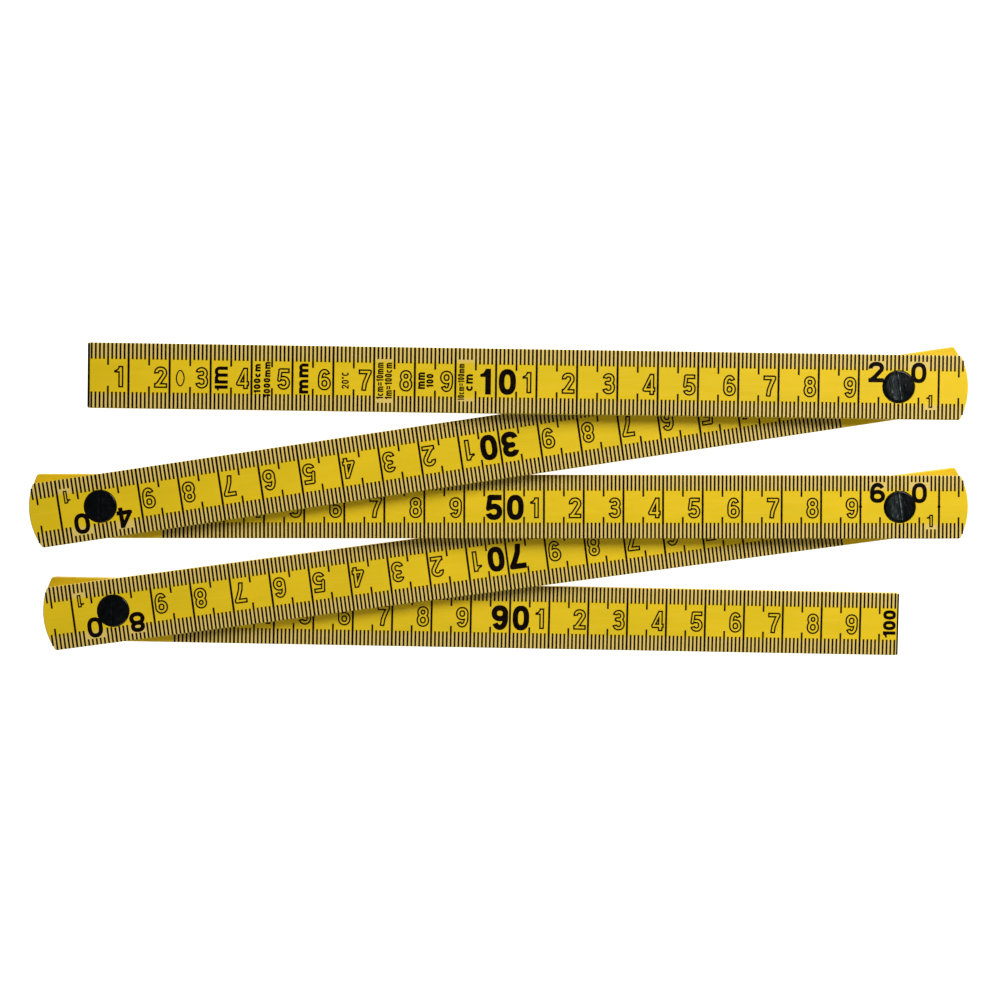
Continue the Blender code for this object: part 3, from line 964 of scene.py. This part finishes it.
def contours(field, step):
    """The closed lines where the field changes sign, by marching squares."""
    inside = field < 0
    links = {}

    def crossing(r0, c0, r1, c1):
        a, b = field[r0, c0], field[r1, c1]
        t = a / (a - b)
        return ((c0 + (c1 - c0) * t) * step, (r0 + (r1 - r0) * t) * step)

    points = {}
    codes = inside[:-1, :-1] + 2 * inside[:-1, 1:] + 4 * inside[1:, 1:] + 8 * inside[1:, :-1]
    # For each corner pattern, the pairs of cell sides that a line joins: 0 low, 1 right, 2 high, 3 left.
    lines = {
        1: [(0, 3)], 2: [(1, 0)], 3: [(1, 3)], 4: [(2, 1)], 5: [(0, 3), (2, 1)],
        6: [(2, 0)], 7: [(2, 3)], 8: [(3, 2)], 9: [(0, 2)], 10: [(1, 0), (3, 2)],
        11: [(1, 2)], 12: [(3, 1)], 13: [(0, 1)], 14: [(3, 0)],
    }
    for r, c in np.argwhere((codes > 0) & (codes < 15)):
        sides = (
            ((r, c), (r, c + 1)),
            ((r, c + 1), (r + 1, c + 1)),
            ((r + 1, c), (r + 1, c + 1)),
            ((r, c), (r + 1, c)),
        )
        for a, b in lines[int(codes[r, c])]:
            for side in (a, b):
                if sides[side] not in points:
                    points[sides[side]] = crossing(*sides[side][0], *sides[side][1])
            links[sides[a]] = sides[b]
    loops = []
    while links:
        first, here = links.popitem()
        loop = [points[first]]
        while here != first:
            loop.append(points[here])
            here = links.pop(here)
        loops.append(loop)
    return loops


def simplified(loop, slack):
    """The loop with the points left out that lie within slack of a straight run."""
    points = np.array(loop)
    far = int(np.argmax(((points - points[0]) ** 2).sum(1)))
    kept = set()

    def keep(a, b):
        kept.update((a, b))
        if b - a < 2:
            return
        chord = points[b % len(points)] - points[a]
        between = points[a + 1 : b] - points[a]
        length = max(np.linalg.norm(chord), 1e-12)
        away = np.abs(chord[0] * between[:, 1] - chord[1] * between[:, 0]) / length
        worst = int(np.argmax(away))
        if away[worst] > slack:
            keep(a, a + 1 + worst)
            keep(a + 1 + worst, b)

    keep(0, far)
    keep(far, len(points))
    return [tuple(points[i]) for i in sorted(kept - {len(points)})]


def figure_mesh(character, width, height, stroke_width, outline=None):
    """A raised figure as points and faces, its low left corner at the origin.

    An outlined figure is a ring of ink this wide."""
    r = stroke_width / 2
    margin = 4 * GLYPH_GRID
    columns = int((width + 2 * margin) / GLYPH_GRID) + 2
    rows = int((height + 2 * margin) / GLYPH_GRID) + 2
    grid = np.stack(np.meshgrid(np.arange(columns), np.arange(rows)), -1).reshape(-1, 2) * GLYPH_GRID - margin
    field = np.full(len(grid), 1.0)
    for one in FIGURES[character](width, height, r):
        own = area_field(grid, one["area"]) if "area" in one else stroke_field(grid, one, r)
        field = np.minimum(field, own)
    outside_box = np.abs(grid - (width / 2, height / 2)) - (width / 2, height / 2)
    field = np.maximum(field, outside_box.max(1))
    if outline:
        field = np.maximum(field, -outline - field)
    # A value of exactly zero would put two crossings on one point.
    field = np.where(np.abs(field) < 1e-9, 1e-9, field).reshape(rows, columns)
    loops = [simplified(loop, GLYPH_SLACK) for loop in contours(field, GLYPH_GRID)]
    loops = [[(x - margin, y - margin) for x, y in loop] for loop in loops if len(loop) > 3]
    return raised(loops)


def raised(loops):
    """A thin closed form over an area between loops, standing from the ink's root to its rise."""
    curve = bpy.data.curves.new("figure", "CURVE")
    curve.dimensions = "2D"
    curve.fill_mode = "BOTH"
    curve.extrude = (INK_RISE + INK_ROOT) / 2
    for loop in loops:
        spline = curve.splines.new("POLY")
        spline.points.add(len(loop) - 1)
        spline.use_cyclic_u = True
        for point, (x, y) in zip(spline.points, loop):
            point.co = (x, y, 0, 1)
    drawn = link("figure", curve)
    mesh = evaluated(drawn)
    bpy.data.objects.remove(drawn)
    mesh.transform(Matrix.Translation((0, 0, (INK_RISE - INK_ROOT) / 2)))
    form = bmesh.new()
    form.from_mesh(mesh)
    bmesh.ops.remove_doubles(form, verts=form.verts, dist=0.0005 * MM)
    bmesh.ops.recalc_face_normals(form, faces=form.faces)
    form.to_mesh(mesh)
    form.free()
    return [tuple(v.co) for v in mesh.vertices], [tuple(p.vertices) for p in mesh.polygons]


@functools.cache
def figure(*key):
    """Each kind of figure is worked out once."""
    return figure_mesh(*key)


def add_figure(form, key, x, y, turn_deg=0):
    """Puts a figure's low left corner at x, y, turned about that corner."""
    points, faces = figure(*key)
    c, s = math.cos(math.radians(turn_deg)), math.sin(math.radians(turn_deg))
    form.add([(x + px * c - py * s, y + px * s + py * c, pz) for px, py, pz in points], faces)


# The ink. A face's frame has the low reading at the origin, Y as the reader's up, and the face at height 0.


def strip(form, x, width, inner, side, outer=None):
    """A line from inner out to a long edge, round which it wraps, or straight to outer."""
    if outer is None:
        edge = HALF_WIDTH - EDGE_RADIUS
        turns = [math.radians(a) for a in EDGE_WRAP_DEG]
        path = [(edge + EDGE_RADIUS * math.sin(a), EDGE_RADIUS * (math.cos(a) - 1), a) for a in turns]
    else:
        path = [(outer, 0.0, 0.0)]
    path = [(inner, 0.0, 0.0)] + path
    points, faces = [], []
    for y, z, a in path:
        for rise in (INK_RISE, -INK_ROOT):
            for dx in (-width / 2, width / 2):
                points.append((x + dx, side * (y + rise * math.sin(a)), z + rise * math.cos(a)))
    for i in range(len(path) - 1):
        a, b = 4 * i, 4 * i + 4
        faces += [(a, a + 1, b + 1, b), (a + 1, a + 3, b + 3, b + 1)]
        faces += [(a + 3, a + 2, b + 2, b + 3), (a + 2, a, b, b + 2)]
    last = 4 * (len(path) - 1)
    faces += [(0, 2, 3, 1), (last, last + 1, last + 3, last + 2)]
    if side < 0:
        faces = [tuple(reversed(face)) for face in faces]
    form.add(points, faces)


def end_line(form, x, direction, width):
    """The line on a square end, wrapped over its edge. The end faces -X for direction -1."""
    turns = [math.radians(a) for a in END_WRAP_DEG]
    path = [(EDGE_RADIUS * (1 - math.sin(a)), EDGE_RADIUS * (math.cos(a) - 1), a) for a in turns]
    path.append((width, 0.0, 0.0))
    points, faces = [], []
    for inward, z, a in path:
        for rise in (INK_RISE, -INK_ROOT):
            for y in (-END_LINE_REACH, END_LINE_REACH):
                points.append((x - direction * (inward - rise * math.sin(a)), y, z + rise * math.cos(a)))
    for i in range(len(path) - 1):
        a, b = 4 * i, 4 * i + 4
        faces += [(a, b, b + 1, a + 1), (a + 1, b + 1, b + 3, a + 3)]
        faces += [(a + 3, b + 3, b + 2, a + 2), (a + 2, b + 2, b, a)]
    last = 4 * (len(path) - 1)
    faces += [(0, 1, 3, 2), (last, last + 2, last + 3, last + 1)]
    if direction > 0:
        faces = [tuple(reversed(face)) for face in faces]
    form.add(points, faces)


def add_outlined(form, character, line_x):
    """An outlined figure just before its line."""
    one = character == "1"
    width = OUTLINED_ONE_WIDTH if one else OUTLINED_WIDTH
    gap = OUTLINED_ONE_GAP if one else OUTLINED_GAP
    key = (character, width, OUTLINED["height"], OUTLINED["stroke"], OUTLINED["ink"])
    add_figure(form, key, line_x - gap - width, OUTLINED["middle"] - OUTLINED["height"] / 2)


def add_tens(form, tens, line_x):
    """A bold number such as 30, one figure on each side of its line."""
    one = tens == "1"
    width = BOLD_ONE_WIDTH if one else BOLD_WIDTH
    gap = BOLD_ONE_GAP if one else BOLD_GAP
    low = BOLD_MIDDLE - BOLD_HEIGHT / 2
    add_figure(form, (tens, width, BOLD_HEIGHT, BOLD_STROKE), line_x - gap - width, low)
    add_figure(form, ("0", BOLD_WIDTH, BOLD_HEIGHT, BOLD_STROKE), line_x + BOLD_ZERO_GAP, low)


def add_pivot_number(form, tens, x):
    """A bold number such as 40 over a head, and the small figure 1 before the next line."""
    size = (PIVOT_WIDTH, PIVOT_HEIGHT, PIVOT_STROKE)
    add_figure(form, (tens, *size), x + PIVOT_TENS_AT[0], PIVOT_TENS_AT[1])
    add_figure(form, ("0", *size), x + PIVOT_ZERO_AT[0], PIVOT_ZERO_AT[1])
    add_figure(form, SMALL_ONE, x + SMALL_ONE_AT[0], SMALL_ONE_AT[1])


def tick_reach(role, mm, side):
    """How far in a tick reaches. It stops short of the figures over a pivot and of the small words."""
    past = mm - PITCH_MM
    if role == 1 and mm in CONVERSION_TICKS_MM:
        return CONVERSION_REACH[side]
    if role == 1 and mm in TENTH_TICKS_MM:
        return TENTH_REACH
    if role < BLADE_COUNT and side > 0 and any(low < past < high for low, high in PIVOT_FIGURE_SPANS_MM):
        return PIVOT_FIGURE_REACH
    if role < BLADE_COUNT and side < 0 and SMALL_ONE_SPAN_MM[0] < past < SMALL_ONE_SPAN_MM[1]:
        return SMALL_ONE_REACH
    return FIVE_TICK if mm % 5 == 0 else MM_TICK


def tick(form, mm, side, length):
    """A tick at this millimetre, cut short where the round end leaves it no room."""
    x = mm * MM
    past = (mm - PITCH_MM) * MM
    room = math.sqrt(max(UPPER_TAIL_RADIUS**2 - past**2, 0)) if past > 0 else HALF_WIDTH
    outer = room - EDGE_RADIUS if room < HALF_WIDTH else None
    strip(form, x, TICK_WIDTH, HALF_WIDTH - length, side, outer)


def print_lines(role):
    """Every line on the face that reads from 20 * (role - 1) to 20 * role centimetres."""
    form = Form()
    has_pivot = role < BLADE_COUNT
    start = 1 if role == 1 else PRINT_START_MM
    stop = PITCH_MM + PRINT_PAST_PIVOT_MM if has_pivot else PITCH_MM - 1
    for mm in range(start, stop + 1):
        if mm % 10:
            for side in (1, -1):
                tick(form, mm, side, tick_reach(role, mm, side))
        else:
            inner = PIVOT_LINE_START if mm == PITCH_MM else 0
            for side in (1, -1):
                strip(form, mm * MM, CM_WIDTH, inner, side)
    if role == 3:
        # A dot on the lines a centimetre before and after 60
        for x in (PITCH - 10 * MM, PITCH + 10 * MM):
            form.add(*raised([circle((x, DOT_Y), DOT_RADIUS)]))
    if role == 1:
        end_line(form, 0, -1, ZERO_LINE_WIDTH)
    if not has_pivot:
        end_line(form, PITCH, 1, HUNDRED_LINE_WIDTH)
    return form


# A letter's width and height as shares of a figure's. "M" draws a letter m as tall as a figure.
WORD_SHARES = {"1": 0.7, "m": 1.6, "M": 2.3, "o": 0.55}
LOW_LETTERS = {"c": 0.78, "m": 0.78}
WORD_GAP = 0.24

# Each word's foot line, middle, height, length and stroke, in millimetres. "o" is a degree ring.
UNIT_WORDS = [
    ("1M", 34.2, -0.4, 3.2, 5.9, 0.82),
    ("100cm", 42.2, -0.3, 1.65, 7.2, 0.47),
    ("1000mm", 44.6, -0.5, 1.65, 8.7, 0.44),
    ("mm", 53.9, -0.1, 2.9, 7.4, 0.78),
    ("20oC", 63.8, -0.4, 1.75, 4.1, 0.31),
    ("1cm=10mm", 72.3, -0.4, 1.75, 9.0, 0.34),
    ("1m=100cm", 74.4, -0.4, 1.75, 9.0, 0.35),
    ("mm", 82.5, -0.2, 2.1, 4.1, 0.48),
    ("100", 84.6, -0.2, 1.75, 3.4, 0.44),
    ("10cm=100mm", 92.2, -0.4, 1.6, 9.0, 0.29),
    ("cm", 94.3, -0.5, 2.1, 4.1, 0.50),
]
HUNDRED = ("100", 199.22, 0, 3.26, 7.1, 0.84)
HUNDRED_GAP = 0.13
EMPTY_OVAL = ("O", 2.2 * MM, 4.1 * MM, 0.3 * MM)
EMPTY_OVAL_AT = (21.5 * MM, -2.5 * MM)


def print_figures(role):
    form = Form()
    first = 1 if role == 1 else 2
    for cm in range(first, 20):
        if cm == 10:
            add_tens(form, str(2 * role - 1), 10 * cm * MM)
        else:
            add_outlined(form, str(cm % 10), 10 * cm * MM)
    if role < BLADE_COUNT:
        add_pivot_number(form, str(2 * role), PITCH)
    else:
        add_word(form, *HUNDRED, gap=HUNDRED_GAP)
    if role == 1:
        add_marks(form)
    return form


def add_word(form, word, *sizes_mm, gap=WORD_GAP):
    """A small word that reads upwards, with its foot line at x and its middle and length along Y."""
    x, middle, height, length, stroke_width = (size * MM for size in sizes_mm)
    shares = [WORD_SHARES.get(character, 1.0) for character in word]
    unit = length / (sum(shares) + gap * (len(word) - 1))
    y = middle - length / 2
    for character, share in zip(word, shares):
        tall = height * LOW_LETTERS.get(character, 1.0)
        add_figure(form, (character, share * unit, tall, stroke_width), x, y, 90)
        y += (share + gap) * unit


def add_marks(form):
    """An empty oval and the units near the start of the rule."""
    add_figure(form, EMPTY_OVAL, *EMPTY_OVAL_AT)
    for word in UNIT_WORDS:
        add_word(form, *word)


FACES = {
    "front": lambda: Matrix.Translation((0, 0, THICKNESS)),
    "back": lambda: Matrix.Translation((PITCH, 0, 0)) @ Matrix.Rotation(math.pi, 4, "Y"),
}


def make_print(number, face, role):
    """The ink on one face of a blade."""
    body = f"blade_{number}"
    for kind, form in (("lines", print_lines(role)), ("figures", print_figures(role))):
        mesh = form.mesh(kind)
        mesh.transform(FACES[face]())
        keep_place(mesh, (number * PLACE_STEP, 0, 0))
        put(f"{body}_{face}_{kind}", mesh, blade_matrix(number), body, INK)


# The stage

CAMERA_FOOT = (-0.0122, 0.00923)
CAMERA_HEIGHT = 0.4028
CAMERA_TILT_DEG = (-1.25, -1.62, 0.116)
CAMERA_LENS = 56.56
FLOOR_HALF_SIZE = 3.0
FLOOR_THICKNESS = 0.02


def make_camera():
    camera = bpy.data.cameras.new("camera")
    camera.lens = CAMERA_LENS
    camera.sensor_width = 36
    camera.clip_start = 0.01
    camera.clip_end = 20
    obj = link("camera", camera)
    obj.location = (*CAMERA_FOOT, CAMERA_HEIGHT)
    obj.rotation_euler = [math.radians(angle) for angle in CAMERA_TILT_DEG]
    bpy.context.scene.camera = obj


def make_floor():
    half = FLOOR_HALF_SIZE
    floor = link("floor", box_mesh("floor", (-half, -half, -FLOOR_THICKNESS), (half, half, 0)))
    material, _, shader = new_material("floor")
    looks = {
        "Base Color": (0.4, 0.4, 0.4, 1),
        "Roughness": 0.9,
        "Specular IOR Level": 0.1,
        "Emission Color": (1, 1, 1, 1),
        "Emission Strength": 1.0,
    }
    for key, value in looks.items():
        shader.inputs[key].default_value = value
    floor.data.materials.append(material)


def make_light(name, place_at, size, power, colour=(1, 1, 1)):
    light = bpy.data.lights.new(name, "AREA")
    light.color = colour
    light.shape = "DISK"
    light.size = size
    light.energy = power
    obj = link(name, light)
    obj.location = place_at
    obj.rotation_euler = Vector(place_at).to_track_quat("Z", "Y").to_euler()


def make_lights():
    make_light("key", (0.42, 0.48, 0.54), size=0.50, power=9.6)
    make_light("fill", (0.0, -0.50, 0.50), size=0.5, power=1.9, colour=(0.93, 1.0, 0.86))
    world = bpy.data.worlds.new("world")
    world.use_nodes = True
    tree = world.node_tree
    dim = tree.nodes["Background"]
    dim.inputs["Color"].default_value = (0.93, 1, 0.86, 1)
    dim.inputs["Strength"].default_value = 0.06
    # Past the floor's edge the camera sees plain white, which lights nothing.
    seen = add(tree, "ShaderNodeBackground", {"Color": (1, 1, 1, 1), "Strength": 1.0})
    camera_ray = tree.nodes.new("ShaderNodeLightPath").outputs["Is Camera Ray"]
    mixed = add(tree, "ShaderNodeMixShader", {0: camera_ray, 1: dim.outputs[0], 2: seen})
    tree.links.new(mixed, tree.nodes["World Output"].inputs["Surface"])
    bpy.context.scene.world = world


YELLOW = yellow_plastic()
GLOSSY_BLACK = black_plastic("glossy_black", 0.05)
SCUFFED_SHEEN_BLACK = black_plastic("scuffed_sheen_black", 1.0)
STEEL = spring_steel()
INK = black_ink()

bpy.context.scene.view_settings.view_transform = "Standard"
make_camera()
for blade_number in range(1, BLADE_COUNT + 1):
    make_blade(blade_number)
    make_print(blade_number, "front", blade_number)
    make_print(blade_number, "back", BLADE_COUNT + 1 - blade_number)
for blade_number in range(2, BLADE_COUNT + 1):
    make_joint(blade_number)
make_floor()
make_lights()
